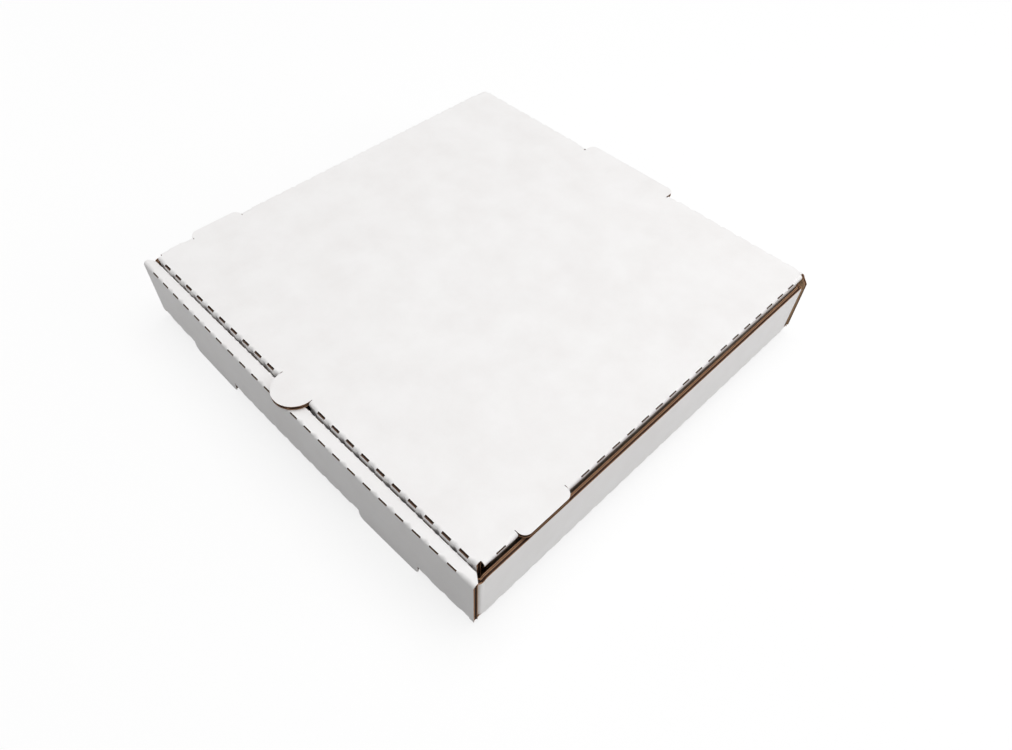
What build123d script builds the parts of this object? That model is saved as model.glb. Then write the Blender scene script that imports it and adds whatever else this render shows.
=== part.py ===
from build123d import *
import math
import os

# One die-cut sheet of corrugated board folded into a shallow box with a hinged lid.
# Millimetres. X runs along the front wall, +Y to the rear, +Z up. The origin is the middle of
# the bounding box in X and Y, at the level of the two feet.

# Board and folds
board = 2.8                 # thickness of the sheet
fold_in = 0.4               # inner radius of every fold
layer_gap = 0.3             # air between two layers that lie against each other
crease_pitch = 12.7         # one cut and one creased length of a perforated fold
crease_cut = 6.35           # length of one cut
slit = 1.0                  # width of a cut opened by the fold
liner = 0.5                 # inner liner left whole below a cut
lid_slit_deg = 35.0         # where round a lid fold the cut opens, from the lid's face
tray_slit_deg = 45.0        # the same on the tray's folds

# Tray
width = 311.2               # over the two side walls
length = 308.0              # from the front wall's ends to the rear wall
height = 46.8               # from the bottom's underside to the lid's face
bow = 2.4                   # how far the front wall's middle stands out of its ends
foot_drop = 6.0             # how far the feet reach below the bottom
foot_length = 50.0
foot_middle = 88.0          # from the middle of the box to the middle of a foot
foot_corner = 4.0
foot_clear = 0.5            # air round the locking tab in the hole that its foot left
lock_lift = 0.5             # from the bottom's underside up to the end of a locking tab
leg = 16.0                  # how deep the front strip of the bottom follows the bow
toe_lift = 0.4              # from the underside up to the wall ends beyond the bottom
front_flap = 44.0           # corner flaps inside the rolled-over front wall
rear_flap = 40.0            # corner flaps inside the rear wall
flap_lift = 5.0             # from the bottom's upper face to the corner flaps
rear_flap_drop = 2.0        # from the side walls' top down to the rear corner flaps
front_first_cut = 13.5      # from the front wall's left end to the first cut in its top folds
cut_margin = 6.0            # shortest uncut length at the end of a fold
side_first_cut = 11.0       # from the front wall to the first cut along a side wall's foot
end_step = 3.3              # how far the rolled-over panels stop short of the front wall's ends
sweep_share = 1.02          # how far past the ends the front wall is swept before it is trimmed

# Lid
lid_side_gap = 0.5          # between a side wall and the lid's flap inside it
lid_front_gap = 0.4         # between the ends of the rolled-over wall and the lid's front flap
lid_rest_gap = 0.3          # between the lid and the walls that carry it
lid_flap = 34.0             # depth of the lid's three flaps below its face
front_flap_deg = 4.0        # how far the front flap leans inwards, so that it swings out freely
side_flap_set_back = 6.0    # from the front flap's inner face to a side flap's front end
side_flap_rear_gap = 1.6    # from the rear corner flaps to a side flap's rear end
side_flap_taper = 8.0       # slanted lower corner of a side flap
corner_air = 0.4            # between the folds that meet at a front corner of the lid
lid_first_cut = 9.3         # from the lid's left edge to the first cut in its front fold
lid_right_cut = 9.0         # from the thumb tab to the first cut on its right
lid_side_lone_cut = 8.3     # from the lid's front edge to the cut in front of a side tab
lid_side_first_cut = 10.2   # from a side tab to the first cut behind it
lid_cut_margin = 2.0        # shortest uncut length at the end of a lid fold

# Tabs that stay in the lid's plane and leave their outline open in the panel below
thumb_radius = 14.0
thumb_out = 0.5             # beyond the front wall's middle
tab_clear = 0.4             # air between a tab's outline and the hole it left
side_tab_length = 36.6
side_tab_middle = 54.8      # from the front wall's ends to the middle of a side tab
side_tab_out = 0.4          # beyond the side wall
side_tab_corner = 5.0
side_hole_depth = 9.0       # from the lid's face down to the end of the hole a side tab left
rear_tab_length = 78.0
rear_tab_out = 6.5          # beyond the rear wall
rear_tab_corner = 5.0
rear_hole_air = 1.0         # round the rear tab when the lid swings it through its hole

# Lid hinge: the uncut lengths of the rear fold, taken by the lid and the tray in turn
hinge_gap = 0.3
hinge_start = 4.0           # from the rear tab's hole to the first uncut length

# Derived values
fold_out = board + fold_in
overlap = board / 2
roll = board + layer_gap + board + layer_gap + board
total_y = thumb_out + bow + length + rear_tab_out
half = width / 2
y_front = thumb_out + bow - total_y / 2
y_nose = y_front - bow
y_rear = y_front + length
z_floor = foot_drop
z_top = z_floor + height
z_lid = z_top - board
z_wall = z_lid - lid_rest_gap
arc = (half * half + bow * bow) / (bow + bow)
y_arc = y_nose + arc
knuckle = board / 2
y_hinge = y_rear - knuckle
z_hinge = z_top - knuckle
hinge_reach = knuckle + hinge_gap
x_flap = half - board - lid_side_gap
y_flap = y_front + roll + lid_front_gap
y_thumb = y_nose - thumb_out + thumb_radius
rear_layer = y_rear - board - layer_gap
y_flap_end = rear_layer - board - side_flap_rear_gap
y_side_flap = y_flap + board + side_flap_set_back
y_tab = y_front + side_tab_middle
x_rear_hole = rear_tab_length / 2 + rear_hole_air


def block(x, y, z):
    """Box between two corners, given as three (low, high) pairs."""
    size = Box(x[1] - x[0], y[1] - y[0], z[1] - z[0])
    return Pos((x[0] + x[1]) / 2, (y[0] + y[1]) / 2, (z[0] + z[1]) / 2) * size


def steps(first, last):
    """Starts of the cuts of one fold, none of them ending beyond the last place."""
    count = int((last - first - crease_cut) // crease_pitch) + 1
    return [first + n * crease_pitch for n in range(count)]


def mirrored(shape):
    """The shape and its mirror image across the middle plane X = 0."""
    return [shape, mirror(shape, about=Plane.YZ)]


def quarter(side, up):
    """Section of a fold round the local origin, in the quadrant given by two signs."""
    ring = Circle(fold_out) - Circle(fold_in)
    return ring & (Pos(side * fold_out / 2, up * fold_out / 2) * Rectangle(fold_out, fold_out))


def plate(low, high, bottom, top):
    """Section of a flat length of board, in a plane whose second axis is vertical."""
    size = Rectangle(high - low, top - bottom)
    return Pos((low + high) / 2, (bottom + top) / 2) * size


def bowed(section, x_low, x_high):
    """Sweeps a front section, drawn at X = 0 on the YZ plane, along the bowed front wall."""
    spin = math.degrees(math.asin(half / (arc - leg))) * sweep_share
    pivot = Axis((0, y_arc, 0), (0, 0, 1))
    start = (Plane.YZ * section).rotate(pivot, -spin)
    swept = revolve(start, axis=pivot, revolution_arc=spin + spin)
    return swept & block((x_low, x_high), (y_nose - board, y_front + leg + leg), (-board, z_top))


def along_y(section, y_low, y_high):
    """Extrudes a section drawn on X and Z between two values of Y."""
    return extrude(Plane.XZ.offset(-y_high) * section, amount=y_high - y_low)


def along_x(section, x_low, x_high):
    """Extrudes a section drawn on Y and Z between two values of X."""
    return extrude(Plane.YZ.offset(x_low) * section, amount=x_high - x_low)


def slit_x(x, y, z, angle):
    """Cut through a fold that runs along X; angle is the fold normal's turn from +Y to +Z."""
    tool = Pos(crease_cut / 2, fold_in + liner + board / 2, 0) * Box(crease_cut, board, slit)
    return Pos(x, y, z) * (Rot(angle, 0, 0) * tool)


def slit_y(x, y, z, angle):
    """Cut through a fold that runs along Y; angle is the fold normal's turn from +X to +Z."""
    tool = Pos(fold_in + liner + board / 2, crease_cut / 2, 0) * Box(board, crease_cut, slit)
    return Pos(x, y, z) * (Rot(0, -angle, 0) * tool)


def y_on_bow(x):
    """Y of the front wall's outer face at a value of X."""
    return y_arc - math.sqrt(arc * arc - x * x)


def rounded_tab(size_x, size_y, corner):
    """Flat tab with rounded corners, centred, as thick as the board."""
    return extrude(RectangleRounded(size_x, size_y, corner), amount=board)


def make_tray():
    # front wall: outer panel, rolled-over top, inner panel
    inside = half - fold_out
    outer = plate(y_nose, y_nose + board, z_floor + fold_out, z_wall - fold_out)
    top = Pos(y_nose + fold_out, z_wall - fold_out) * quarter(-1, 1)
    strip = plate(y_nose + fold_out, y_nose + roll - fold_out, z_wall - board, z_wall)
    turn = Pos(y_nose + roll - fold_out, z_wall - fold_out) * quarter(1, 1)
    inner = plate(y_nose + roll - board, y_nose + roll,
                  z_floor + board + layer_gap, z_wall - fold_out)
    wall = bowed(outer + top, -half, half)
    wall += bowed(strip + turn + inner, end_step - half, half - end_step)
    heel = Pos(y_nose + fold_out, z_floor + fold_out) * quarter(-1, -1)
    sole = plate(y_nose + fold_out, y_nose + leg, z_floor, z_floor + board)
    wall += bowed(heel + sole, -inside, inside)
    toe = plate(y_nose, y_nose + board, z_floor + toe_lift, z_floor + fold_out + overlap)
    wall += bowed(toe, inside, half) + bowed(toe, -half, -inside)
    # feet: the board that the locking holes set free, left in the plane of the front wall
    low = foot_middle - foot_length / 2
    high = foot_middle + foot_length / 2
    hole = plate(y_nose - board, y_nose + roll + foot_clear, z_floor - board, z_floor + fold_out)
    for side in (bowed(hole, low - foot_clear, high + foot_clear),
                 bowed(hole, -high - foot_clear, -low + foot_clear)):
        wall -= side
    foot = plate(y_nose, y_nose + board, 0, z_floor + fold_out + overlap)
    tall = foot_drop + fold_out + board
    outline = Pos(foot_middle, tall / 2) * RectangleRounded(foot_length, tall, foot_corner)
    stamp = outline + Pos(foot_middle, tall - board) * Rectangle(foot_length, board + board)
    wall += mirrored(bowed(foot, low - overlap, high + overlap)
                     & along_y(stamp, y_nose - board, y_front + leg))
    lock = plate(y_nose + roll - board, y_nose + roll, z_floor + lock_lift,
                 z_floor + board + layer_gap + overlap)
    wall += mirrored(bowed(lock, low, high))
    # bottom, side walls, rear wall
    tray = wall + block((-inside, inside), (y_front + roll + foot_clear, y_rear - fold_out),
                        (z_floor, z_floor + board))
    lower = Pos(inside, z_floor + fold_out) * quarter(1, -1)
    upright = plate(half - board, half, z_floor + fold_out, z_wall)
    y_side = y_front + board + layer_gap
    tray += mirrored(along_y(lower, y_side, rear_layer))
    tray += mirrored(along_y(upright, y_side + layer_gap, rear_layer))
    rear_foot = Pos(y_rear - fold_out, z_floor + fold_out) * quarter(1, -1)
    tray += along_x(rear_foot, -inside, inside)
    tray += block((-half, half), (y_rear - board, y_rear),
                  (z_floor + fold_out, z_hinge - hinge_reach))
    tray += mirrored(block((inside, half), (y_rear - board, y_rear),
                           (z_floor + toe_lift, z_floor + fold_out + overlap)))
    # corner flaps
    flap = plate(y_nose + board + layer_gap, y_nose + board + layer_gap + board,
                 z_floor + board + flap_lift, z_wall - board - layer_gap)
    tray += mirrored(bowed(flap, half - front_flap, half))
    tray += mirrored(block((half - rear_flap, half), (rear_layer - board, rear_layer),
                           (z_floor + board + flap_lift, z_wall - rear_flap_drop)))
    # the hole that the lid's rear tab left in the rear wall
    tab_swing = math.hypot(rear_tab_out + knuckle, knuckle) + rear_hole_air
    tray -= block((-x_rear_hole, x_rear_hole), (y_rear - board - overlap, y_rear + overlap),
                  (z_hinge - tab_swing, z_top))
    # uncut lengths of the rear fold that belong to the tray
    for x in hinge_starts[1::2]:
        neck = block((x, x + crease_cut), (y_rear - board, y_rear),
                     (z_hinge - hinge_reach - overlap, z_hinge))
        pin = along_x(Pos(y_hinge, z_hinge) * Circle(knuckle), x, x + crease_cut)
        tray += mirrored(neck + pin)
    # perforations
    cuts = []
    for x in steps(front_first_cut - half, half - cut_margin):
        y = y_on_bow(x + crease_cut / 2)
        cuts.append(slit_x(x, y + fold_out, z_wall - fold_out, 180 - tray_slit_deg))
        cuts.append(slit_x(x, y + roll - fold_out, z_wall - fold_out, tray_slit_deg))
    for x in steps(front_first_cut - half, half - cut_margin):
        middle = abs(x + crease_cut / 2)
        cuts.append(slit_x(x, y_rear - fold_out, z_floor + fold_out, -tray_slit_deg))
        if abs(middle - foot_middle) > foot_length / 2 + crease_cut:
            y = y_on_bow(x + crease_cut / 2)
            cuts.append(slit_x(x, y + fold_out, z_floor + fold_out, 180 + tray_slit_deg))
    for y in steps(y_front + side_first_cut, y_rear - side_first_cut):
        cuts += mirrored(slit_y(inside, y, z_floor + fold_out, -tray_slit_deg))
    return tray - cuts


def make_lid():
    x_panel = x_flap - fold_out
    y_panel = y_flap + fold_out
    # front flap, leaning inwards below its fold, with the hole that the thumb tab left
    turn = Pos(y_panel, z_top - fold_out) * quarter(-1, 1)
    hang = plate(y_flap, y_flap + board, z_top - lid_flap, z_top - fold_out)
    pivot = Axis((0, y_panel, z_top - fold_out), (1, 0, 0))
    flap = along_x(turn + hang, -x_panel, x_panel).rotate(pivot, front_flap_deg)
    flap += along_x(turn, -x_panel, x_panel)
    gone = along_y(Pos(0, z_lid) * Circle(thumb_radius + tab_clear), y_flap - board, y_panel + board)
    gone += block((-thumb_radius - tab_clear, thumb_radius + tab_clear),
                  (y_flap - board, y_panel), (z_lid, z_top + overlap))
    lid = (flap - gone) + block((-x_panel, x_panel), (y_panel, y_hinge - hinge_reach), (z_lid, z_top))
    # side flaps, each with the hole that its tab left
    fold = Pos(x_panel, z_top - fold_out) * quarter(1, 1)
    drop = plate(x_flap - board, x_flap, z_top - lid_flap, z_top - fold_out)
    side = along_y(fold, y_panel + corner_air, y_flap_end)
    side += along_y(drop, y_side_flap, y_flap_end)
    wedge = Polyline((y_side_flap - overlap, z_top - lid_flap - overlap),
                     (y_side_flap + side_flap_taper, z_top - lid_flap - overlap),
                     (y_side_flap - overlap, z_top - lid_flap + side_flap_taper), close=True)
    side -= along_x(make_face(wedge), x_flap - board - overlap, x_flap + overlap)
    tab_low = y_tab - side_tab_length / 2
    tab_high = y_tab + side_tab_length / 2
    side -= block((x_panel, x_flap + overlap), (tab_low - tab_clear, tab_high + tab_clear),
                  (z_top - side_hole_depth, z_top + overlap))
    lid += mirrored(side)
    ear = block((x_panel - overlap, x_flap), (y_flap_end, y_hinge - hinge_reach), (z_lid, z_top))
    lid += mirrored(ear)
    # tabs in the lid's plane
    lid += Pos(0, y_thumb, z_lid) * extrude(Circle(thumb_radius), amount=board)
    reach = half + side_tab_out - x_panel
    tab = Pos(x_panel, y_tab, z_lid) * rounded_tab(reach + reach, side_tab_length,
                                                             side_tab_corner)
    lid += mirrored(tab)
    reach = y_rear + rear_tab_out - y_hinge + hinge_reach
    lid += Pos(0, y_hinge - hinge_reach, z_lid) * rounded_tab(rear_tab_length, reach + reach,
                                                              rear_tab_corner)
    # uncut lengths of the rear fold that belong to the lid
    for x in hinge_starts[0::2]:
        neck = block((x, x + crease_cut), (y_hinge - hinge_reach - overlap, y_hinge),
                     (z_lid, z_top))
        pin = along_x(Pos(y_hinge, z_hinge) * Circle(knuckle), x, x + crease_cut)
        lid += mirrored(neck + pin)
    # perforations
    cuts = []
    left = steps(lid_first_cut - x_panel, -thumb_radius - lid_cut_margin)
    right = steps(thumb_radius + lid_right_cut, x_panel - lid_cut_margin)
    for x in left + right:
        cuts.append(slit_x(x, y_panel, z_top - fold_out, 90 + lid_slit_deg))
    behind = steps(tab_high + lid_side_first_cut, y_flap_end - lid_cut_margin)
    for y in [y_panel + lid_side_lone_cut] + behind:
        cuts += mirrored(slit_y(x_panel, y, z_top - fold_out, 90 - lid_slit_deg))
    return lid - cuts


hinge_starts = steps(x_rear_hole + hinge_start, x_flap)
os.makedirs("parts", exist_ok=True)
export_step(make_tray(), "parts/tray.step")
export_step(make_lid(), "parts/lid.step")
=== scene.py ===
import math

import bpy
from mathutils import Matrix, Vector


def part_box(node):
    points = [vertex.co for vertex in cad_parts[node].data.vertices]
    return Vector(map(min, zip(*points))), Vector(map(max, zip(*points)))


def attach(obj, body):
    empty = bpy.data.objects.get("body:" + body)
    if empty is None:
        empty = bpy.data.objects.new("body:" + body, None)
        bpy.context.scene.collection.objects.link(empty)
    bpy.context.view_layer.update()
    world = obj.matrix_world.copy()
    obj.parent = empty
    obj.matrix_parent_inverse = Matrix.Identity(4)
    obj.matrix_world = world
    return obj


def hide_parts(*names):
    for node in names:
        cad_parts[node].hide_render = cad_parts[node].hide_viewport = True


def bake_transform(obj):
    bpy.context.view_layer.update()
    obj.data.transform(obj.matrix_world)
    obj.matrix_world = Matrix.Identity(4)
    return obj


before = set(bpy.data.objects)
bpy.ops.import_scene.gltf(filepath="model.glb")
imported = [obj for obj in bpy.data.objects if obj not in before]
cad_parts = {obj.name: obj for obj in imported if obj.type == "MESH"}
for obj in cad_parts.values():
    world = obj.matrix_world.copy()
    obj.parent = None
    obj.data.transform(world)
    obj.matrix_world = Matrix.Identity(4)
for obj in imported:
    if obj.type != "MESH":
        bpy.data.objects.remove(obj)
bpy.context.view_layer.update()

# A shallow box folded from one sheet of white-lined corrugated board.
# Millimetres here, turned to metres when a mesh is made. +Z is up and the front wall faces -Y.

MM = 0.001
tray_low, tray_high = (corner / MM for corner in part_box("tray"))
lid_low, lid_high = (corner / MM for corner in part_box("lid"))

# Board and folds
BOARD = 2.8                 # thickness of the sheet
LINER = 0.45                # paper left across the lid's hinge
FOLD_IN = 0.4               # inner radius of a fold
FOLD_OUT = BOARD + FOLD_IN  # its outer radius
LAYER_GAP = 0.3             # air between two layers that touch
CUT_PITCH = 12.7            # from one cut to the next
CUT = 6.35                  # length of one cut in a perforated fold
SLIT = 1.0                  # how far a cut gapes
CREASE_CUT = 0.9            # outer radius of a crease over a cut
CREASE_WHOLE = 2.5          # and in the middle of a whole length
UNEVEN_SHARE = 0.12         # how much the creases differ among themselves
UNEVEN_TURN = 0.9           # and how fast that changes, in radians a millimetre
INNER_LAG_SHARE = 0.2       # of a fold's angle, left to the flats on its inner side
GROOVE = 0.6                # how far the fluting lies behind the liners in a raw edge
FLUTE = 6.5                 # pitch of the fluting
MESH_STEP = 1.6             # longest step along a fold
TURN_STEP = 17.0            # longest step round a crease, in degrees
WELD_DIGITS = 2             # decimals of a millimetre at which points are one
MARK_DIGITS = 4             # and at which places along a fold are one
TOUCH = 1e-3                # how near a border a place counts as on it
MARK_TOUCH = 1e-4           # and how far past a fold's end a mark still counts
LEAST_NORMAL = 0.1          # shortest sum of normals that gives a direction
WALL_ROWS = 4               # rows of faces down a wall, a corner flap or a side flap
PANEL_ROWS = 3              # and down the inner panel, a foot and a side wall's middle
LID_FLAP_ROWS = 5           # and down the lid's front flap

# Tray
BOW = 2.4                   # how far the front wall's middle stands out of its ends
FOOT_DROP = 6.0             # how far the feet reach below the bottom
FOOT_LENGTH = 50.0          # along the front wall
FOOT_MIDDLE = 88.0          # from the middle of the box to the middle of a foot
FOOT_CORNER = 4.0           # rounding of a foot's lower corners
FOOT_TURNS = range(15, 90, 15)      # degrees round that corner that get a place
FOOT_CLEAR = 0.5            # air round a locking tab in the hole that its foot left
LOCK_LIFT = 0.5             # from the underside up to the end of a locking tab
TOE_LIFT = 0.4              # from the underside up to the wall ends beyond the bottom
FRONT_FLAP = 44.0           # length of the corner flaps inside the front wall
REAR_FLAP = 40.0            # and of those inside the rear wall
FLAP_LIFT = 5.0             # from the bottom's upper face to the corner flaps
FRONT_FIRST_CUT = 13.5      # from the front wall's left end to the first cut in its folds
CUT_MARGIN = 6.0            # shortest whole length at the end of a fold
SIDE_FIRST_CUT = 11.0       # from the front wall to the first cut in a side wall's fold
TRAY_SLIT_DEG = 45.0        # where round a fold its cuts open, in degrees

# Lid
LID_REST_GAP = 0.3          # between the lid and the walls that carry it
LID_SIDE_GAP = 0.5          # between a side wall and the flap inside it
LID_FRONT_GAP = 0.4         # between the rolled-over wall's ends and the front flap
FRONT_FLAP_DEG = 4.0        # how far the front flap leans inwards
SIDE_FLAP_SET_BACK = 6.0    # from the front flap's inner face to a side flap
SIDE_FLAP_TAPER = 8.0       # slanted lower corner of a side flap
CORNER_AIR = 0.4            # between the folds that meet at a corner
LID_SLIT_DEG = 36.0         # where round a fold its cuts open, from the lid's face
LID_FRONT_SLIT = 1.5        # how far a cut in the lid's front fold gapes
LID_CREASE_CUT = 1.5        # outer radius of that fold over a cut
PINCH = 1.3                 # how far the flap is drawn in between two cuts
PINCH_MIDDLE_SHARE = 0.35   # of that, how much it stands out over a cut
PINCH_REACH = 12.0          # how far down the flap that goes
LID_FIRST_CUT = 9.3         # from the lid's left edge to the first cut in its front fold
LID_RIGHT_CUT = 9.0         # from the thumb tab to the first cut on its right
LID_SIDE_LONE_CUT = 8.3     # from the lid's front edge to the cut in front of a side tab
LID_SIDE_FIRST_CUT = 10.2   # from a side tab to the first cut behind it
LID_CUT_MARGIN = 2.0        # shortest whole length at the end of a fold

# How the folded walls settle
FRONT_SET_IN = 1.9          # how far the front wall's outer face draws in
STRIP_END_CUT = 5.4         # how far the front strip's ends are cut back at its inner crease
STRIP_END = 12.0            # length over which its folds narrow to that
SIDE_SPREAD = 0.35          # how far the right wall leans out at its top
SIDE_LEAN_IN = 1.0          # and how far the left wall leans in
SIDE_DROP = 2.0             # and how far its top edge sinks
SIDE_CORNER = 3.0           # rounding of its front upper corner
SIDE_TURNS = range(20, 91, 14)      # degrees round that corner that get a place
SIDE_FLAP_DEG = 14.0        # lean of a lid's side flap at its front
SIDE_FLAP_REAR_DEG = 6.5    # and at its rear
REAR_CORNER_AIR = 2.8       # between the rear wall and the corner flaps behind it
HINGE_END_CUT = 1.9         # how far the ends of the lid's hinge are cut back
HINGE_END = 8.0             # length over which they narrow to that
HINGE_END_RISE = 4.0        # height of the slanted end of the rear wall below the hinge

# Tabs
THUMB_RADIUS = 14.0
THUMB_TURNS = range(-90, 91, 6)     # degrees round its hole that get a place
THUMB_POINTS = 36           # steps round the tab
CORNER_POINTS = 8           # steps round a corner of the other tabs
TAB_CLEAR = 0.4             # air between a tab and the hole that it left
SIDE_TAB_LENGTH = 36.6      # along the side wall
SIDE_TAB_MIDDLE = 54.8      # from the front wall's ends to the middle of a side tab
SIDE_TAB_CORNER = 5.0
SIDE_HOLE_DEPTH = 9.0       # from the lid's face to the end of the hole of a side tab
REAR_TAB_HALF = 39.0        # half the rear tab's length
REAR_TAB_CORNER = 5.0
REAR_HOLE_AIR = 1.0         # round the rear tab in its hole
REAR_HOLE_LOW = 42.4        # height of the lower edge of the hole in the rear wall
HINGE_START = 4.0           # from that hole to the first whole length of the hinge

# Places that follow from the frame and the sizes above
half = tray_high.x
y_nose = tray_low.y
y_rear = tray_high.y
y_front = y_nose + BOW
z_floor = tray_low.z + FOOT_DROP
z_top = lid_high.z
z_lid = z_top - BOARD
z_wall = z_lid - LID_REST_GAP
z_heel = z_floor + FOLD_OUT
inside = half - FOLD_OUT
roll = BOARD + LAYER_GAP + BOARD + LAYER_GAP + BOARD
arc_radius = (half * half + BOW * BOW) / (BOW + BOW)


def y_on_bow(x):
    """Y of the front wall's outer face."""
    return y_nose + arc_radius - math.sqrt(arc_radius * arc_radius - x * x)


foot_low = FOOT_MIDDLE - FOOT_LENGTH / 2
foot_high = FOOT_MIDDLE + FOOT_LENGTH / 2
flap_low = z_floor + BOARD + FLAP_LIFT
front_flap_top = z_wall - BOARD - LAYER_GAP
z_side = z_wall - SIDE_DROP
rear_layer = y_rear - BOARD - LAYER_GAP
x_flap = half - BOARD - LID_SIDE_GAP
x_panel = x_flap - FOLD_OUT
y_flap = y_front + roll + LID_FRONT_GAP
y_panel = y_flap + FOLD_OUT
y_back = y_rear - FOLD_OUT
y_rear_fold = rear_layer - REAR_CORNER_AIR - FOLD_OUT
y_flap_end = y_rear_fold + FOLD_OUT - BOARD - FOLD_IN
y_fold_end = y_back - CORNER_AIR
y_side_flap = y_flap + BOARD + SIDE_FLAP_SET_BACK
y_open = y_on_bow(half) + FRONT_SET_IN + BOARD + LAYER_GAP
y_fold = y_open + FOLD_OUT
y_tab = y_front + SIDE_TAB_MIDDLE
tab_low = y_tab - SIDE_TAB_LENGTH / 2
tab_high = y_tab + SIDE_TAB_LENGTH / 2
x_rear_hole = REAR_TAB_HALF + REAR_HOLE_AIR
thumb_hole = THUMB_RADIUS + TAB_CLEAR
flap_depth = z_top - FOLD_OUT - lid_low.z


class Section:
    """Rows of a folded sheet in a plane, with the outer liner on the outer side of every bend.

    A row is (shape, travel), where shape gives the outer and the inner point for the radius that
    the crease has at some place along the fold.
    """

    def __init__(self, spot, heading, normal, board=BOARD, radius=FOLD_OUT,
                 slit=SLIT, tight=CREASE_CUT):
        self.spot = Vector(spot)
        self.heading = Vector(heading)
        self.normal = Vector(normal)
        self.board = board
        self.radius = radius
        self.slit = slit
        self.tight = tight
        self.travel = 0.0
        self.rows = []
        self.bands = []
        self.add_flat()

    def add_flat(self):
        """Row on a flat length: the same outer and inner point whatever the crease."""
        spot = self.spot.copy()
        inner = spot - self.normal * self.board
        self.rows.append((lambda crease: (spot, inner), self.travel))

    def line(self, label, *lengths):
        """Goes straight on by some lengths."""
        for length in lengths:
            self.spot = self.spot + self.heading * length
            self.travel += length
            self.bands.append((label, "flat"))
            self.add_flat()
        return self

    def fold(self, label, degrees=90.0, slit_deg=None):
        """Bend by some degrees; the crease's small arc lies outside the bend's own radius."""
        radius, inner_radius = self.radius, self.radius - self.board
        centre = self.spot - self.normal * radius
        normal, heading = self.normal.copy(), self.heading.copy()
        slope = math.tan(math.radians(degrees) / 2)
        toward = normal + heading * slope
        start = self.travel

        def crease_row(turned):
            way = normal * math.cos(turned) + heading * math.sin(turned)
            behind = math.radians(degrees) * INNER_LAG_SHARE + turned * (1 - 2 * INNER_LAG_SHARE)
            inner = centre + (normal * math.cos(behind) + heading * math.sin(behind)) * inner_radius
            return lambda crease: (centre + toward * (radius - crease) + way * crease, inner)

        stops = [(degrees, "bend")]
        if slit_deg is not None:
            gape = math.degrees(self.slit / 2 / self.tight)
            stops = [(slit_deg - gape, "bend"), (slit_deg + gape, "slit"), (degrees, "bend")]
        self.bands.append((label, "flat"))
        self.rows.append((crease_row(0.0), start))
        reached = 0.0
        for stop, kind in stops:
            count = math.ceil((stop - reached) / TURN_STEP)
            for n in range(1, count + 1):
                turned = math.radians(reached + (stop - reached) * n / count)
                self.bands.append((label, kind))
                self.rows.append((crease_row(turned), start + radius * turned))
            reached = stop
        turned = math.radians(degrees)
        self.normal = normal * math.cos(turned) + heading * math.sin(turned)
        self.heading = heading * math.cos(turned) - normal * math.sin(turned)
        self.spot = centre + self.normal * radius
        self.travel = start + radius * turned
        self.bands.append((label, "flat"))
        self.add_flat()
        return self


def wholeness(place, cuts):
    """Nothing over a cut, one in the middle of a whole length."""
    away = min(max(start - place, place - start - CUT, 0.0) for start in cuts)
    return math.sin(math.pi / 2 * min(1.0, away / (CUT_PITCH - CUT) * 2)) ** 2


def crease_radius(place, cuts, tight):
    """Outer radius of a crease: tight over a cut, rounder where the paper is whole."""
    if not cuts:
        return CREASE_WHOLE
    uneven = 1.0 + UNEVEN_SHARE * math.sin(place * UNEVEN_TURN + len(cuts))
    return tight + (CREASE_WHOLE - tight) * wholeness(place, cuts) * uneven


def in_cut(place, cuts):
    """Whether a place lies over a cut."""
    return any(start < place < start + CUT for start in cuts)


def steps(first, last):
    """Starts of the cuts of one fold, none of them ending beyond the last place."""
    count = int((last - first - CUT) // CUT_PITCH) + 1
    return [first + n * CUT_PITCH for n in range(count)]


def stations(low, high, cuts=(), extra=()):
    """Places along a fold: its ends, every end of a cut, the extra ones, and steps between them."""
    marks = {low, high, *extra, *cuts, *(start + CUT for start in cuts)}
    marks = sorted({round(m, MARK_DIGITS) for m in marks if low - MARK_TOUCH <= m <= high + MARK_TOUCH})
    places = [marks[0]]
    for a, b in zip(marks, marks[1:]):
        count = math.ceil((b - a) / MESH_STEP)
        places += [a + (b - a) * n / count for n in range(1, count + 1)]
    return places


def equal(length, count):
    """A length in equal parts."""
    return [length / count] * count


class Sheet:
    """Outer face of a sheet of board; every point knows the inner point behind it."""

    def __init__(self):
        self.index = {}
        self.slits = set()
        self.outer = []
        self.inner = []
        self.flute = []
        self.faces = []
        self.flat = []

    @staticmethod
    def key(outer):
        return tuple(round(c, WELD_DIGITS) for c in outer)

    def point(self, corner):
        outer, inner, flute = corner
        key = self.key(outer)
        if key not in self.index:
            self.index[key] = len(self.outer)
            self.outer.append(Vector(outer))
            self.inner.append(Vector(inner))
            self.flute.append(flute)
        return self.index[key]

    def face(self, corners, flat):
        ring = []
        for corner in corners:
            n = self.point(corner)
            if n not in ring:
                ring.append(n)
        if len(ring) < 3:
            return
        normal = newell([self.outer[n] for n in ring])
        outward = sum((self.outer[n] - self.inner[n] for n in ring), Vector())
        if normal.dot(outward) < 0.0:
            ring.reverse()
        self.faces.append(ring)
        self.flat.append(flat)

    def patch(self, section, places, put, flute, cuts=(), keep=None):
        """Lays a section's rows along a fold, leaving out the slits and what keep refuses."""
        grid = []
        for shape, travel in section.rows:
            row = []
            for place in places:
                outer, inner = shape(min(crease_radius(place, cuts, section.tight), section.radius))
                row.append((put(place, outer), put(place, inner), flute(place, travel)))
            grid.append(row)
        for i, (label, kind) in enumerate(section.bands):
            for j in range(len(places) - 1):
                middle = (places[j] + places[j + 1]) / 2
                corners = (grid[i][j], grid[i][j + 1], grid[i + 1][j + 1], grid[i + 1][j])
                if keep is not None and not keep(label, middle):
                    continue
                if kind == "slit" and in_cut(middle, cuts):
                    self.slits.update(self.key(corner[0]) for corner in corners)
                    continue
                self.face(corners, kind == "flat")


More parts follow.
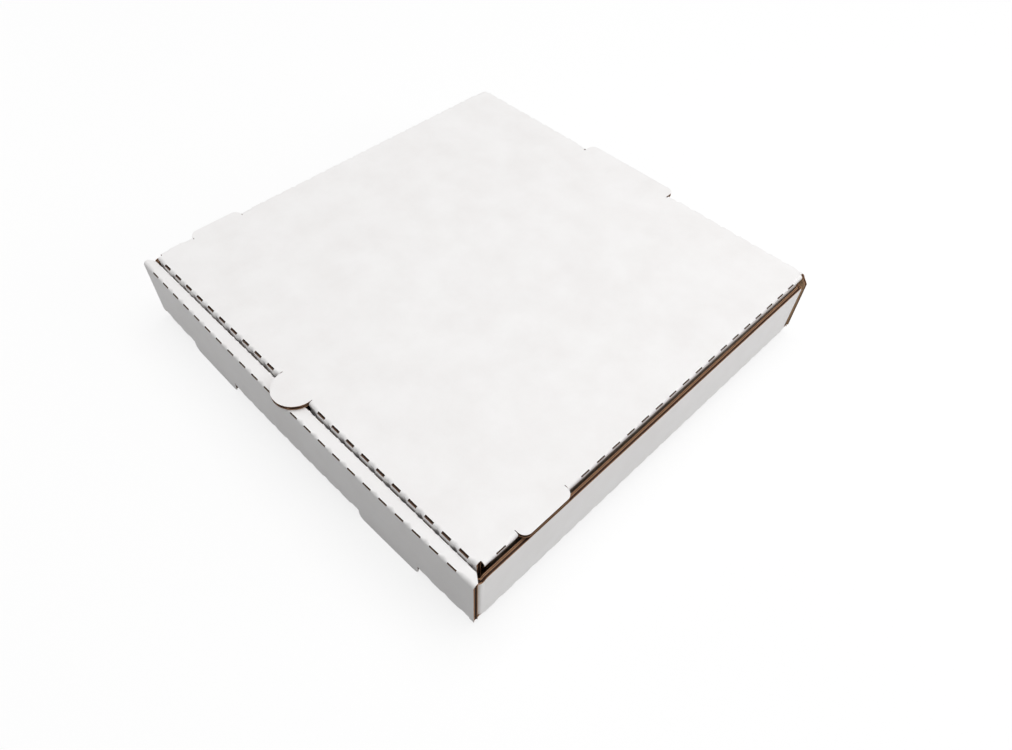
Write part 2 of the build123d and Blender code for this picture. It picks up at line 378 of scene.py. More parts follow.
def newell(points):
    """Normal of a face, as long as twice its area."""
    total = Vector()
    for a, b in zip(points, points[1:] + points[:1]):
        total += a.cross(b)
    return total


# Across a raw edge: share of the thickness, and how far it lies behind the edge
EDGE_ROWS = ((0.13, 0.0), (0.19, 1.0), (0.81, 1.0), (0.87, 0.0))
# Materials of a piece: both liners, the raw edge and an edge left by a cut
OUTER, INNER, RAW, KNIFE = range(4)


def edges_of(faces):
    """Directed edges that only one face has."""
    uses = {}
    for ring in faces:
        for a, b in zip(ring, ring[1:] + ring[:1]):
            uses[(a, b)] = ring
    return {pair: ring for pair, ring in uses.items() if (pair[1], pair[0]) not in uses}


def smooth_normals(points, faces, flat):
    """Normal of each point: of the flat faces that meet there, or else of the bends."""
    flats = [Vector() for _ in points]
    bends = [Vector() for _ in points]
    for ring, is_flat in zip(faces, flat):
        normal = newell([points[n] for n in ring]).normalized()
        for n in ring:
            (flats if is_flat else bends)[n] += normal
    return [(f if f.length > LEAST_NORMAL else b).normalized() for f, b in zip(flats, bends)]


def build(sheet, name, materials, groove=GROOVE):
    """Closed mesh of a sheet: outer liner, inner liner and the raw edges between them."""
    count = len(sheet.outer)
    points = sheet.outer + sheet.inner
    flute = sheet.flute + sheet.flute
    depth = [0.0] * count + [1.0] * count
    faces = [list(ring) for ring in sheet.faces]
    slots = [OUTER] * len(faces)
    normals_out = smooth_normals(sheet.outer, sheet.faces, sheet.flat)
    back = [ring[::-1] for ring in sheet.faces]
    normals_in = smooth_normals(sheet.inner, back, sheet.flat)
    corner_normals = [normals_out[n] for ring in faces for n in ring]
    corner_normals += [normals_in[n] for ring in back for n in ring]
    faces += [[n + count for n in ring] for ring in back]
    slots += [INNER] * len(back)
    border = edges_of(sheet.faces)
    slit_points = {sheet.index[key] for key in sheet.slits if key in sheet.index}
    inward = {}
    for (a, b), ring in border.items():
        along = (sheet.outer[b] - sheet.outer[a]).normalized()
        normal = newell([sheet.outer[n] for n in ring]).normalized()
        for n in (a, b):
            inward[n] = inward.get(n, Vector()) + normal.cross(along)
    ladder = {}
    for n, direction in inward.items():
        direction.normalize()
        deep = 0.0 if n in slit_points else groove
        rungs = [n]
        for share, sunk in EDGE_ROWS:
            rungs.append(len(points))
            points.append(sheet.outer[n].lerp(sheet.inner[n], share) + direction * (deep * sunk))
            flute.append(sheet.flute[n])
            depth.append(share)
        ladder[n] = rungs + [n + count]
    for a, b in border:
        for low, high, low_b, high_b in zip(ladder[a], ladder[a][1:], ladder[b], ladder[b][1:]):
            ring = [low_b, low, high, high_b]
            faces.append(ring)
            slots.append(KNIFE if a in slit_points and b in slit_points else RAW)
            normal = newell([points[n] for n in ring]).normalized()
            corner_normals += [normal] * len(ring)
    mesh = bpy.data.meshes.new(name)
    mesh.from_pydata([p * MM for p in points], [], faces)
    for material in materials:
        mesh.materials.append(material)
    mesh.polygons.foreach_set("material_index", slots)
    mesh.polygons.foreach_set("use_smooth", [True] * len(faces))
    mesh.normals_split_custom_set(corner_normals)
    for title, values in (("flute", flute), ("depth", depth)):
        attribute = mesh.attributes.new(title, "FLOAT", "POINT")
        attribute.data.foreach_set("value", values)
    piece = bpy.data.objects.new(name, mesh)
    bpy.context.scene.collection.objects.link(piece)
    return piece


def put_front(x, point):
    """Front wall's place: the outer panel draws in, the inner one only at the top of the bow."""
    inward = min(max((point.x - BOARD) / (roll - BOARD), 0.0), 1.0)
    rise = min(max((point.y - z_floor) / (z_wall - z_floor), 0.0), 1.0)
    settle = 1 - inward + inward * rise * (1 - (x / half) ** 2)
    over = min(max((point.x - FOLD_OUT) / (roll - FOLD_OUT), 0.0), 1.0)
    near = max(abs(x) - half + STRIP_END, 0.0) / STRIP_END
    x_cut = x - math.copysign(STRIP_END_CUT * over * near, x)
    return Vector((x_cut, y_on_bow(x) + point.x + FRONT_SET_IN * settle, point.y))


def put_heel(x, point):
    """Lower fold of the front wall, with its outer face where the wall's is."""
    away = min(max(inside - abs(x), 0.0) / CUT_PITCH, 1.0)
    reach = FOLD_OUT + (roll + FOOT_CLEAR - FOLD_OUT) * away
    settle = 1 - min(max(point.x / reach, 0.0), 1.0)
    return Vector((x, y_on_bow(x) + point.x + FRONT_SET_IN * settle, point.y))


def flute_is_place(place, travel):
    """The fluting's waves follow one another along the fold."""
    return place


def foot_end(x):
    """Z of the end of a foot, rounded at its corners."""
    near = min(abs(x) - foot_low, foot_high - abs(x))
    if near >= FOOT_CORNER:
        return tray_low.z
    fall = FOOT_CORNER - max(near, 0.0)
    return tray_low.z + FOOT_CORNER - math.sqrt(max(FOOT_CORNER ** 2 - fall ** 2, 0.0))


def in_foot(x, air=0.0):
    """Whether a value of X lies within a foot, or in the air round it."""
    return foot_low - air < abs(x) < foot_high + air


def front_wall(sheet, sole_places):
    """Outer panel, rolled-over top, inner panel with its locking tabs, and the feet."""
    cuts = steps(FRONT_FIRST_CUT - half, half - CUT_MARGIN)
    clear_cuts = [c for c in cuts if abs(abs(c + CUT / 2) - FOOT_MIDDLE) > FOOT_LENGTH / 2 + CUT]
    turns = [FOOT_CORNER * (1 - math.cos(math.radians(a))) for a in FOOT_TURNS]
    marks = [inside, half - STRIP_END, foot_low - FOOT_CLEAR, foot_low, foot_high, foot_high + FOOT_CLEAR]
    marks += [foot_low + t for t in turns] + [foot_high - t for t in turns]
    places = stations(-half, half, cuts, marks + [-m for m in marks])
    sole = [b - a for a, b in zip(sole_places, sole_places[1:])][::-1]
    start = (sum(sole) + FOLD_OUT, z_floor)
    heel = Section(start, (-1, 0), (0, -1)).line("sole", *sole)
    heel.fold("heel", slit_deg=TRAY_SLIT_DEG)

    def keep_heel(label, x):
        return abs(x) < inside and not in_foot(x, FOOT_CLEAR)

    wall = Section((0, z_heel), (0, 1), (-1, 0))
    wall.line("wall", *equal(z_wall - FOLD_OUT - z_heel, WALL_ROWS))
    wall.fold("top", slit_deg=TRAY_SLIT_DEG)
    wall.line("strip", roll - FOLD_OUT - FOLD_OUT)
    wall.fold("turn", slit_deg=90 - TRAY_SLIT_DEG)
    wall.line("inner", *equal(z_wall - FOLD_OUT - z_floor - BOARD - LAYER_GAP, PANEL_ROWS))
    wall.line("lock", BOARD + LAYER_GAP - LOCK_LIFT)

    def keep_wall(label, x):
        return label != "lock" or in_foot(x)

    sheet.patch(wall, places, put_front, flute_is_place, cuts, keep_wall)
    sheet.patch(heel, places, put_heel, flute_is_place, clear_cuts, keep_heel)
    foot = Section((0, 0), (0, 1), (-1, 0)).line("foot", *equal(1.0, PANEL_ROWS))

    def put_foot(x, point):
        return put_front(x, Vector((point.x, z_heel + (foot_end(x) - z_heel) * point.y)))

    sheet.patch(foot, places, put_foot, flute_is_place, keep=lambda label, x: in_foot(x))
    toes(sheet, places, put_front, (0, z_heel), (-1, 0))
    return [x for x in places if abs(x) <= inside + TOUCH]


def toes(sheet, places, put, start, normal):
    """Ends of a wall that reach down beside the bottom."""
    toe = Section(start, (0, -1), normal).line("toe", z_heel - z_floor - TOE_LIFT)
    sheet.patch(toe, places, put, flute_is_place, keep=lambda label, x: abs(x) > inside)


def side_wall(sheet, side, places, cuts):
    """Side wall with its two corner flaps."""
    middle_rows = equal(front_flap_top - flap_low, PANEL_ROWS)
    wall = Section((inside, z_floor), (1, 0), (0, -1)).fold("fold", slit_deg=TRAY_SLIT_DEG)
    wall.line("low", flap_low - z_heel).line("mid", *middle_rows)
    wall.line("high", z_side - front_flap_top)

    spread = SIDE_SPREAD if side > 0 else -SIDE_LEAN_IN

    def put_side(y, point):
        """Leans towards the top, where its front corner is rounded."""
        rise = max(point.y - z_heel, 0.0) / (z_wall - z_heel)
        above = max(point.y - front_flap_top, 0.0) / (z_side - front_flap_top)
        short = min(max(SIDE_CORNER - (y - y_fold), 0.0), SIDE_CORNER)
        fall = SIDE_CORNER - math.sqrt(SIDE_CORNER ** 2 - short ** 2)
        return Vector((side * (point.x + spread * rise), y, point.y - fall * above))

    def keep(label, y):
        return y > y_open if label == "fold" else y_fold < y < y_rear_fold

    sheet.patch(wall, places, put_side, lambda y, travel: side * (inside + travel), cuts, keep)
    heights = [z_heel, flap_low]
    for row in middle_rows:
        heights.append(heights[-1] + row)

    def put_flap(z, point):
        rise = (z - z_heel) / (z_wall - z_heel)
        return Vector((side * (point.x + spread * rise), point.y, z))

    for y, heading, length in ((y_fold, -1, FRONT_FLAP), (y_rear_fold, 1, REAR_FLAP)):
        flap = Section((half, y), (0, heading), (1, 0)).fold("fold")
        flap.line("flap", *equal(length - FOLD_OUT, WALL_ROWS))
        sheet.patch(flap, heights, put_flap, lambda z, travel: side * (half + z - z_heel),
                    keep=lambda label, z: label == "fold" or z > flap_low)


def rear_wall(sheet):
    """Rear wall with the hole that the lid's rear tab left."""
    cuts = steps(FRONT_FIRST_CUT - half, half - CUT_MARGIN)
    places = stations(-half, half, cuts, [-inside, inside, -x_rear_hole, x_rear_hole])
    places = sorted({*places, HINGE_END - half, half - HINGE_END})
    wall = Section((y_back, z_floor), (1, 0), (0, -1)).fold("heel", slit_deg=TRAY_SLIT_DEG)
    z_end = z_top - FOLD_OUT
    wall.line("wall", *equal(REAR_HOLE_LOW - z_heel, WALL_ROWS))
    wall.line("hole", z_end - HINGE_END_RISE - REAR_HOLE_LOW, HINGE_END_RISE)

    def put_rear(x, point):
        """The ends slant in below the hinge."""
        near = max(abs(x) - half + HINGE_END, 0.0) / HINGE_END
        rise = max(point.y - z_end + HINGE_END_RISE, 0.0) / HINGE_END_RISE
        return Vector((x - math.copysign((half - x_flap) * near * rise, x), point.x, point.y))

    def keep(label, x):
        if label == "heel":
            return abs(x) < inside
        return label != "hole" or abs(x) > x_rear_hole

    sheet.patch(wall, places, put_rear, flute_is_place, cuts, keep)
    toes(sheet, places, put_rear, (y_rear, z_heel), (1, 0))
    return [x for x in places if abs(x) <= inside + TOUCH]


def flat_face(sheet, ring, z, up):
    """Flat panel bounded by a ring of (x, y), with the outer liner above or below."""
    back = Vector((0, 0, -up * BOARD))
    corners = [Vector((x, y, z)) for x, y in ring]
    sheet.face([(c, c + back, c.x) for c in corners], True)


def make_tray(materials):
    """Bottom, four walls, corner flaps, inner panel, locking tabs and feet."""
    sheet = Sheet()
    sole_start = y_on_bow(inside) + FOLD_OUT
    sole_end = y_on_bow(inside) + roll + FOOT_CLEAR
    cuts = steps(y_front + SIDE_FIRST_CUT, y_rear - SIDE_FIRST_CUT)
    corner = [y_fold + SIDE_CORNER * (1 - math.cos(math.radians(a))) for a in SIDE_TURNS]
    marks = [sole_end, y_open, y_fold, y_rear_fold, *corner]
    places = stations(sole_start, y_back, cuts, marks)
    sole_places = [y for y in places if y < sole_end + TOUCH]
    front = front_wall(sheet, sole_places)
    rear = rear_wall(sheet)
    for side in (-1, 1):
        side_wall(sheet, side, places, cuts)
    edge = [y for y in places if y > sole_end - TOUCH]
    behind = roll + FOOT_CLEAR
    ring = [(x, y_on_bow(x) + behind) for x in front] + [(inside, y) for y in edge[1:]]
    ring += [(x, y_back) for x in reversed(rear[:-1])] + [(-inside, y) for y in reversed(edge[1:-1])]
    flat_face(sheet, ring, z_floor, -1)
    return build(sheet, "tray_board", materials)


def arc_points(x, y, radius, first, last, count):
    """Points of an arc, between two angles in degrees from +X."""
    angles = [math.radians(first + (last - first) * n / count) for n in range(count + 1)]
    return [(x + radius * math.cos(a), y + radius * math.sin(a)) for a in angles]


def lid_front(sheet):
    """Front fold and flap of the lid, with the half-round hole that the thumb tab left."""
    cuts = steps(LID_FIRST_CUT - x_panel, -THUMB_RADIUS - LID_CUT_MARGIN)
    cuts += steps(THUMB_RADIUS + LID_RIGHT_CUT, x_panel - LID_CUT_MARGIN)
    rounds = [thumb_hole * math.sin(math.radians(a)) for a in THUMB_TURNS]
    places = stations(-x_panel, x_panel, cuts, rounds)
    flap = Section((y_panel, z_top), (-1, 0), (0, 1), slit=LID_FRONT_SLIT, tight=LID_CREASE_CUT)
    flap.fold("fold", degrees=90 + FRONT_FLAP_DEG, slit_deg=LID_SLIT_DEG)
    end, heading = flap.spot.copy(), flap.heading.copy()
    flap.line("flap", *equal(flap_depth, LID_FLAP_ROWS))

    def put(x, point):
        along = (point - end).dot(heading)
        if along > -TOUCH and abs(x) < thumb_hole:
            hole = z_top - FOLD_OUT - z_lid + math.sqrt(thumb_hole ** 2 - x * x)
            point = point + heading * (max(hole, 0.0) * (1 - along / flap_depth))
        below = min((z_top - point.y) / FOLD_OUT, 1.0) * max(1 - abs(along) / PINCH_REACH, 0.0)
        return Vector((x, point.x + PINCH * below * (wholeness(x, cuts) - PINCH_MIDDLE_SHARE), point.y))

    sheet.patch(flap, places, put, flute_is_place, cuts,
                lambda label, x: label == "flap" or abs(x) > thumb_hole)
    return [x for x in places if abs(x) >= thumb_hole - TOUCH]


def lid_side(sheet, side):
    """Side fold and flap of the lid, with the hole that the side tab left."""
    cuts = [y_panel + LID_SIDE_LONE_CUT]
    cuts += steps(tab_high + LID_SIDE_FIRST_CUT, y_fold_end - LID_CUT_MARGIN)
    hole_low, hole_high = tab_low - TAB_CLEAR, tab_high + TAB_CLEAR
    places = stations(y_panel + CORNER_AIR, y_fold_end, cuts,
                      [y_side_flap, y_side_flap + SIDE_FLAP_TAPER, hole_low, hole_high, y_flap_end])
    flap = Section((x_panel, z_top), (1, 0), (0, 1)).fold("fold", slit_deg=LID_SLIT_DEG)
    end = flap.spot.copy()
    hole = SIDE_HOLE_DEPTH - FOLD_OUT
    flap.line("hole", hole).line("flap", *equal(flap_depth - hole, WALL_ROWS))

    def put(y, point):
        """Leans in below the fold, most at the front; the front end tapers to its tip."""
        down = end.y - point.y
        share = (y - y_panel) / (y_flap_end - y_panel)
        degrees = SIDE_FLAP_DEG + (SIDE_FLAP_REAR_DEG - SIDE_FLAP_DEG) * share
        lean = math.tan(math.radians(degrees)) * (z_top - point.y)
        short = SIDE_FLAP_TAPER
        if y > y_side_flap - TOUCH:
            short = max(0.0, SIDE_FLAP_TAPER - (y - y_side_flap))
        if down > hole and short > 0.0:
            down = hole + (down - hole) * (flap_depth - hole - short) / (flap_depth - hole)
        return Vector((side * (point.x - lean), y, end.y - down))

    def keep(label, y):
        if label != "fold" and not y_side_flap < y < y_flap_end:
            return False
        return label == "flap" or not hole_low < y < hole_high

    sheet.patch(flap, places, put, lambda y, travel: side * (x_panel + travel), cuts, keep)
    return places, hole_low, hole_high


def make_lid(materials):
    """Top panel with its tabs, front flap and side flaps."""
    sheet = Sheet()
    front = lid_front(sheet)
    for side in (-1, 1):
        places, hole_low, hole_high = lid_side(sheet, side)
    y_thumb = lid_low.y + THUMB_RADIUS
    lean = math.degrees(math.asin((y_panel - y_thumb) / THUMB_RADIUS))
    ring = [(x, y_panel) for x in front if x < 0]
    ring += arc_points(0, y_thumb, THUMB_RADIUS, 180 - lean, 360 + lean, THUMB_POINTS)
    ring += [(x, y_panel) for x in front if x > 0]
    x_out, corner = lid_high.x, SIDE_TAB_CORNER
    right = [(x_panel, y) for y in places if y < hole_low + TOUCH] + [(x_panel, tab_low)]
    right += arc_points(x_out - corner, tab_low + corner, corner, -90, 0, CORNER_POINTS)
    right += arc_points(x_out - corner, tab_high - corner, corner, 0, 90, CORNER_POINTS)
    right += [(x_panel, tab_high)] + [(x_panel, y) for y in places if y > hole_high - TOUCH]
    x_end = x_flap - HINGE_END_CUT
    right += [(x_end, y_fold_end + CORNER_AIR / 2), (x_end, y_back)]
    hinge = stations(x_rear_hole, x_flap, hinge_cuts())
    right += [(x, y_back) for x in reversed(hinge) if x < x_end] + [(REAR_TAB_HALF, y_back)]
    corner = REAR_TAB_CORNER
    right += arc_points(REAR_TAB_HALF - corner, lid_high.y - corner, corner, 0, 90, CORNER_POINTS)
    ring += right + [(-x, y) for x, y in reversed(right)]
    flat_face(sheet, ring, z_top, 1)
    return build(sheet, "lid_board", materials)


def hinge_cuts():
    """Starts of the cuts in the right half of the lid's hinge."""
    first = x_rear_hole + HINGE_START + CUT
    return steps(first, x_flap)


def make_hinge(name, radius, thickness, materials):
    """Paper that crosses the lid's hinge on both sides of the rear tab."""
    sheet = Sheet()
    cuts = hinge_cuts()
    centre = Vector((y_back, z_top - FOLD_OUT))
    strip = Section((centre.x + radius, centre.y), (0, 1), (1, 0), thickness, radius)
    strip.fold("fold", slit_deg=TRAY_SLIT_DEG)

    def put(x, point):
        """The end of this side's half slants in towards the lid."""
        near = max(x - x_flap + HINGE_END, 0.0) / HINGE_END
        rise = (point.y - centre.y) / radius
        return Vector((side * (x - HINGE_END_CUT * near * rise), point.x, point.y))

    for side in (-1, 1):
        places = stations(x_rear_hole, x_flap, cuts, [x_flap - HINGE_END])
        sheet.patch(strip, places, put, flute_is_place, cuts)
    piece = build(sheet, name, materials, groove=0.0)
    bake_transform(piece)
    return piece


# Colour sockets of a mix of two colours
MIX_FACTOR = 0
MIX_FIRST = 6
MIX_SECOND = 7
MIX_RESULT = 2


class Nodes:
    """Short way to write a material's nodes."""

    def __init__(self, name):
        self.material = bpy.data.materials.new(name)
        self.material.use_nodes = True
        self.tree = self.material.node_tree
        self.tree.nodes.clear()

    def add(self, kind, **values):
        node = self.tree.nodes.new(kind)
        for key, value in values.items():
            if hasattr(node, key):
                setattr(node, key, value)
            else:
                node.inputs[key.replace("_", " ")].default_value = value
        return node

    def link(self, source, node, socket):
        self.tree.links.new(source, node.inputs[socket])

    def math(self, operation, first, second=None):
        """One operation on values or sockets."""
        node = self.add("ShaderNodeMath", operation=operation)
        for n, value in enumerate((first, second)):
            if value is None:
                continue
            if isinstance(value, (int, float)):
                node.inputs[n].default_value = value
            else:
                self.link(value, node, n)
        return node.outputs[0]

    def noise(self, scale, detail, roughness, stretch=(1.0, 1.0, 1.0)):
        """Noise over the object's metres; scale is per millimetre."""
        place = self.add("ShaderNodeTexCoord")
        mapping = self.add("ShaderNodeMapping")
        self.link(place.outputs["Object"], mapping, "Vector")
        mapping.inputs["Scale"].default_value = [s * scale / MM for s in stretch]
        node = self.add("ShaderNodeTexNoise", Scale=1.0, Detail=detail, Roughness=roughness)
        self.link(mapping.outputs[0], node, "Vector")
        return node.outputs["Fac"]

    def ramp(self, source, low, dark, high, light):
        """Dark colour up to the low value, light colour from the high value on."""
        node = self.add("ShaderNodeValToRGB")
        for point, place, colour in zip(node.color_ramp.elements, (low, high), (dark, light)):
            point.position = place
            point.color = (*colour, 1.0)
        self.link(source, node, "Fac")
        return node.outputs["Color"]

    def mix(self, factor, first, second):
        """First colour where the factor is zero, second where it is one."""
        node = self.add("ShaderNodeMix", data_type="RGBA")
        for socket, value in ((MIX_FACTOR, factor), (MIX_FIRST, first), (MIX_SECOND, second)):
            if isinstance(value, tuple):
                node.inputs[socket].default_value = (*value, 1.0)
            else:
                self.tree.links.new(value, node.inputs[socket])
        return node.outputs[MIX_RESULT]

    def flute_wave(self):
        """Sine of the fluting, from -1 to 1, across the sheet."""
        place = self.add("ShaderNodeAttribute", attribute_name="flute")
        return self.math("SINE", self.math("MULTIPLY", place.outputs["Fac"], 2 * math.pi / FLUTE))

    def finish(self, colour, height, bump_strength, roughness, specular):
        """Paper's surface, with its small relief."""
        bump = self.add("ShaderNodeBump", Strength=bump_strength, Distance=RELIEF)
        self.link(height, bump, "Height")
        shader = self.add("ShaderNodeBsdfPrincipled")
        shader.inputs["Specular IOR Level"].default_value = specular
        self.link(colour, shader, "Base Color")
        if isinstance(roughness, float):
            shader.inputs["Roughness"].default_value = roughness
        else:
            self.link(roughness, shader, "Roughness")
        self.link(bump.outputs[0], shader, "Normal")
        out = self.add("ShaderNodeOutputMaterial")
        self.link(shader.outputs[0], out, "Surface")
        return self.material


# Colours
WHITE = (0.905, 0.893, 0.888)
WHITE_SHADE = (0.865, 0.848, 0.84)
KRAFT = (0.44, 0.285, 0.165)
KRAFT_LIGHT = (0.56, 0.385, 0.24)
EDGE_PAPER = (0.40, 0.235, 0.14)
FLUTING = (0.30, 0.165, 0.095)
# Near-black painted shade of the hollows between the flutes in a raw edge
HOLLOW_SHADE = (0.045, 0.022, 0.014)
# Dark browns of a knife edge, with the painted shade of the narrow slit in them
SLIT_SHADE = (0.115, 0.068, 0.047)
SLIT_SHADE_PALE = (0.24, 0.145, 0.098)

# Relief of the paper, in metres, and what makes it up
RELIEF = 0.0003
WHITE_CLOUD_SHARE = 0.75    # of the white's mottling, the rest is specks
WHITE_SPECK_SHARE = 0.25
WHITE_FIBRE = 0.25
WHITE_WASHBOARD = 0.10
WHITE_ROUGH = 0.48
WHITE_ROUGH_SPREAD = 0.12
KRAFT_SHARE = 0.5           # of clouds and of fibres alike
KRAFT_FIBRE = 0.5
KRAFT_WASHBOARD = 0.14

# Layers of a raw edge, as shares of the board's thickness
EDGE_MIDDLE = 0.5
WAVE_REACH = 0.27           # how far the fluting swings from the middle
FLUTING_HALF = 0.09         # half the fluting's own thickness
LINER_START = 0.345         # from the middle out to the liners


def white_liner():
    """Outer liner: bleached paper over kraft, with cloudy patches, fibres and faint washboard."""
    n = Nodes("white_liner")
    cloud = n.noise(scale=0.035, detail=5.0, roughness=0.6)
    speck = n.noise(scale=1.1, detail=3.0, roughness=0.7)
    clouds = n.math("MULTIPLY", cloud, WHITE_CLOUD_SHARE)
    blend = n.math("ADD", clouds, n.math("MULTIPLY", speck, WHITE_SPECK_SHARE))
    colour = n.ramp(blend, low=0.36, dark=WHITE_SHADE, high=0.62, light=WHITE)
    fibre = n.noise(scale=2.4, detail=4.0, roughness=0.7, stretch=(1.0, 0.35, 1.0))
    washboard = n.math("MULTIPLY", n.flute_wave(), WHITE_WASHBOARD)
    height = n.math("ADD", n.math("MULTIPLY", fibre, WHITE_FIBRE), washboard)
    rough = n.math("ADD", n.math("MULTIPLY", speck, WHITE_ROUGH_SPREAD), WHITE_ROUGH)
    return n.finish(colour, height, bump_strength=0.28, roughness=rough, specular=0.35)


def kraft_liner():
    """Inner liner: brown kraft with fibres and faint washboard."""
    n = Nodes("kraft_liner")
    cloud = n.noise(scale=0.05, detail=5.0, roughness=0.6)
    fibre = n.noise(scale=1.6, detail=4.0, roughness=0.75, stretch=(1.0, 0.3, 1.0))
    clouds = n.math("MULTIPLY", cloud, KRAFT_SHARE)
    blend = n.math("ADD", clouds, n.math("MULTIPLY", fibre, KRAFT_SHARE))
    colour = n.ramp(blend, low=0.36, dark=KRAFT, high=0.64, light=KRAFT_LIGHT)
    washboard = n.math("MULTIPLY", n.flute_wave(), KRAFT_WASHBOARD)
    height = n.math("ADD", n.math("MULTIPLY", fibre, KRAFT_FIBRE), washboard)
    return n.finish(colour, height, bump_strength=0.35, roughness=0.78, specular=0.25)


def raw_edge():
    """Raw edge: two liners with the wave of the fluting between them, and near-black painted shade in the
    hollows.
    """
    n = Nodes("raw_edge")
    depth = n.add("ShaderNodeAttribute", attribute_name="depth").outputs["Fac"]
    wave = n.math("ADD", n.math("MULTIPLY", n.flute_wave(), WAVE_REACH), EDGE_MIDDLE)
    off = n.math("ABSOLUTE", n.math("SUBTRACT", depth, wave))
    paper = n.math("LESS_THAN", off, FLUTING_HALF)
    away = n.math("ABSOLUTE", n.math("SUBTRACT", depth, EDGE_MIDDLE))
    liner = n.math("GREATER_THAN", away, LINER_START)
    fibre = n.noise(scale=2.2, detail=4.0, roughness=0.75)
    brown = n.ramp(fibre, low=0.3, dark=FLUTING, high=0.7, light=EDGE_PAPER)
    # Painted shade: the fluting's hollows are filled with near-black where the voids between the liners
    # lie in shade
    inner = n.mix(paper, HOLLOW_SHADE, brown)
    colour = n.mix(liner, inner, brown)
    return n.finish(colour, fibre, bump_strength=0.4, roughness=0.85, specular=0.15)


def slit_edge():
    """Edge left by the knife: all its layers crushed together, in dark browns that paint in the shade of
    the narrow slit.
    """
    n = Nodes("slit_edge")
    fibre = n.noise(scale=1.8, detail=4.0, roughness=0.75)
    # Painted shade: these dark browns carry the shade of the narrow slit on top of the brown paper
    colour = n.ramp(fibre, low=0.3, dark=SLIT_SHADE, high=0.7, light=SLIT_SHADE_PALE)
    return n.finish(colour, fibre, bump_strength=0.4, roughness=0.85, specular=0.15)


# Floor and surroundings
FLOOR_SEEN = (1.0, 1.0, 1.0)
FLOOR_LIGHT = (0.42, 0.42, 0.42)    # what it throws back at the box
FLOOR_GLOW = 0.80           # share of plain white in what the camera sees of the floor
FLOOR_NEAR = 0.35           # metres from the middle up to which that holds
FLOOR_FAR = 1.5             # metres from where on it is all plain white
FLOOR_SIZE = 30.0           # metres
AMBIENT = 0.275             # strength of the surroundings as light
PLAIN_WHITE = (1.0, 1.0, 1.0, 1.0)


def direct_rays(n):
    """One for a ray that comes straight from the camera, or by a mirror or glass."""
    rays = n.add("ShaderNodeLightPath")
    seen = n.math("MAXIMUM", rays.outputs["Is Camera Ray"], rays.outputs["Is Glossy Ray"])
    return n.math("MAXIMUM", seen, rays.outputs["Is Transmission Ray"])


def make_floor():
    """White floor that fades to plain white and still takes the box's shadow."""
    n = Nodes("studio_floor")
    pale = n.add("ShaderNodeBsdfDiffuse", Color=(*FLOOR_SEEN, 1.0))
    glow = n.add("ShaderNodeEmission", Color=(*FLOOR_SEEN, 1.0), Strength=1.0)
    grey = n.add("ShaderNodeBsdfDiffuse", Color=(*FLOOR_LIGHT, 1.0))
    shown = n.add("ShaderNodeMixShader")
    place = n.add("ShaderNodeTexCoord")
    away = n.add("ShaderNodeVectorMath", operation="LENGTH")
    n.link(place.outputs["Object"], away, 0)
    share = n.add("ShaderNodeMapRange")
    share.inputs["From Min"].default_value = FLOOR_NEAR
    share.inputs["From Max"].default_value = FLOOR_FAR
    share.inputs["To Min"].default_value = FLOOR_GLOW
    n.link(away.outputs["Value"], share, "Value")
    n.link(share.outputs[0], shown, 0)
    n.link(pale.outputs[0], shown, 1)
    n.link(glow.outputs[0], shown, 2)
    both = n.add("ShaderNodeMixShader")
    n.link(direct_rays(n), both, 0)
    n.link(grey.outputs[0], both, 1)
    n.link(shown.outputs[0], both, 2)
    out = n.add("ShaderNodeOutputMaterial")
    n.link(both.outputs[0], out, "Surface")
    bpy.ops.mesh.primitive_plane_add(size=FLOOR_SIZE, location=(0, 0, tray_low.z * MM))
    floor = bpy.context.object
    floor.name = "studio_floor"
    floor.data.materials.append(n.material)


def make_world():
    """Plain white surroundings that light the box only faintly."""
    world = bpy.data.worlds.new("studio")
    bpy.context.scene.world = world
    world.use_nodes = True
    tree = world.node_tree
    tree.nodes.clear()
    rays = tree.nodes.new("ShaderNodeLightPath")
    white = tree.nodes.new("ShaderNodeBackground")
    white.inputs["Color"].default_value = PLAIN_WHITE
    white.inputs["Strength"].default_value = 1.0
    fill = tree.nodes.new("ShaderNodeBackground")
    fill.inputs["Color"].default_value = PLAIN_WHITE
    fill.inputs["Strength"].default_value = AMBIENT
    both = tree.nodes.new("ShaderNodeMixShader")
    out = tree.nodes.new("ShaderNodeOutputWorld")
    tree.links.new(rays.outputs["Is Camera Ray"], both.inputs[0])
    tree.links.new(fill.outputs[0], both.inputs[1])
    tree.links.new(white.outputs[0], both.inputs[2])
    tree.links.new(both.outputs[0], out.inputs["Surface"])


def make_lamp(name, place, size, power):
    """Square soft lamp that looks at the middle of the box."""
    light = bpy.data.lights.new(name, "AREA")
    light.shape = "SQUARE"
    light.size = size
    light.energy = power
    lamp = bpy.data.objects.new(name, light)
    lamp.location = place
    lamp.rotation_euler = (-Vector(place)).to_track_quat("-Z", "Y").to_euler()
    bpy.context.scene.collection.objects.link(lamp)


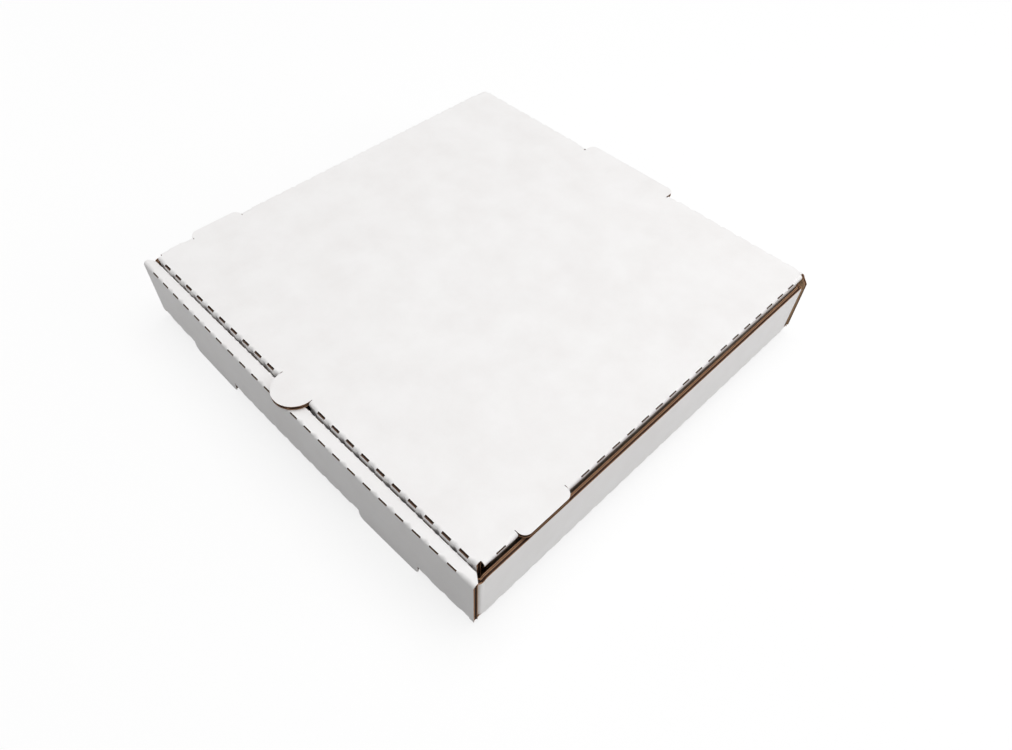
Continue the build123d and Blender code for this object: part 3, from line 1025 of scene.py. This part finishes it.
# Camera, with its angles in degrees and its lens in millimetres
CAMERA_PLACE = (264.2, -256.1, 392.2)
CAMERA_AZIMUTH = 42.7
CAMERA_ELEVATION = 50.75
CAMERA_ROLL = 2.78
CAMERA_LENS = 26.99
CAMERA_SENSOR = 36.0
CAMERA_CLIP = 0.01          # metres


def make_camera():
    """View from the front right and above."""
    azimuth, elevation, roll_by = (math.radians(a) for a in
                                   (CAMERA_AZIMUTH, CAMERA_ELEVATION, CAMERA_ROLL))
    back = Vector((math.sin(azimuth) * math.cos(elevation),
                   -math.cos(azimuth) * math.cos(elevation), math.sin(elevation)))
    level = (-back).cross(Vector((0, 0, 1))).normalized()
    upright = level.cross(-back)
    right = level * math.cos(roll_by) + upright * math.sin(roll_by)
    up = upright * math.cos(roll_by) - level * math.sin(roll_by)
    camera = bpy.data.objects.new("camera", bpy.data.cameras.new("camera"))
    camera.data.sensor_width = CAMERA_SENSOR
    camera.data.lens = CAMERA_LENS
    camera.data.clip_start = CAMERA_CLIP
    turn = Matrix((right, up, back)).transposed().to_4x4()
    camera.matrix_world = Matrix.Translation(Vector(CAMERA_PLACE) * MM) @ turn
    bpy.context.scene.collection.objects.link(camera)
    bpy.context.scene.camera = camera


white, kraft, edge, cut_edge = white_liner(), kraft_liner(), raw_edge(), slit_edge()
tray = make_tray([white, kraft, edge, cut_edge])
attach(tray, "tray")
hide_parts("tray")
lid = make_lid([white, kraft, edge, cut_edge])
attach(lid, "lid")
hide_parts("lid")
make_hinge("hinge_outer_liner", FOLD_OUT, LINER, [white, kraft, cut_edge, cut_edge])
make_hinge("hinge_fluting", FOLD_OUT - LINER, BOARD - LINER - LINER, [kraft, kraft, edge, cut_edge])
make_hinge("hinge_inner_liner", FOLD_IN + LINER, LINER, [kraft, kraft, cut_edge, cut_edge])

make_floor()
make_world()
make_lamp("overhead", place=(0.10, 0.35, 1.9), size=1.9, power=30.3)
make_lamp("right_rear", place=(1.7, 0.9, 0.6), size=1.2, power=12.8)
make_lamp("left_front", place=(-0.80, -0.62, 0.30), size=0.5, power=1.0)
make_camera()
bpy.context.scene.view_settings.view_transform = "Standard"
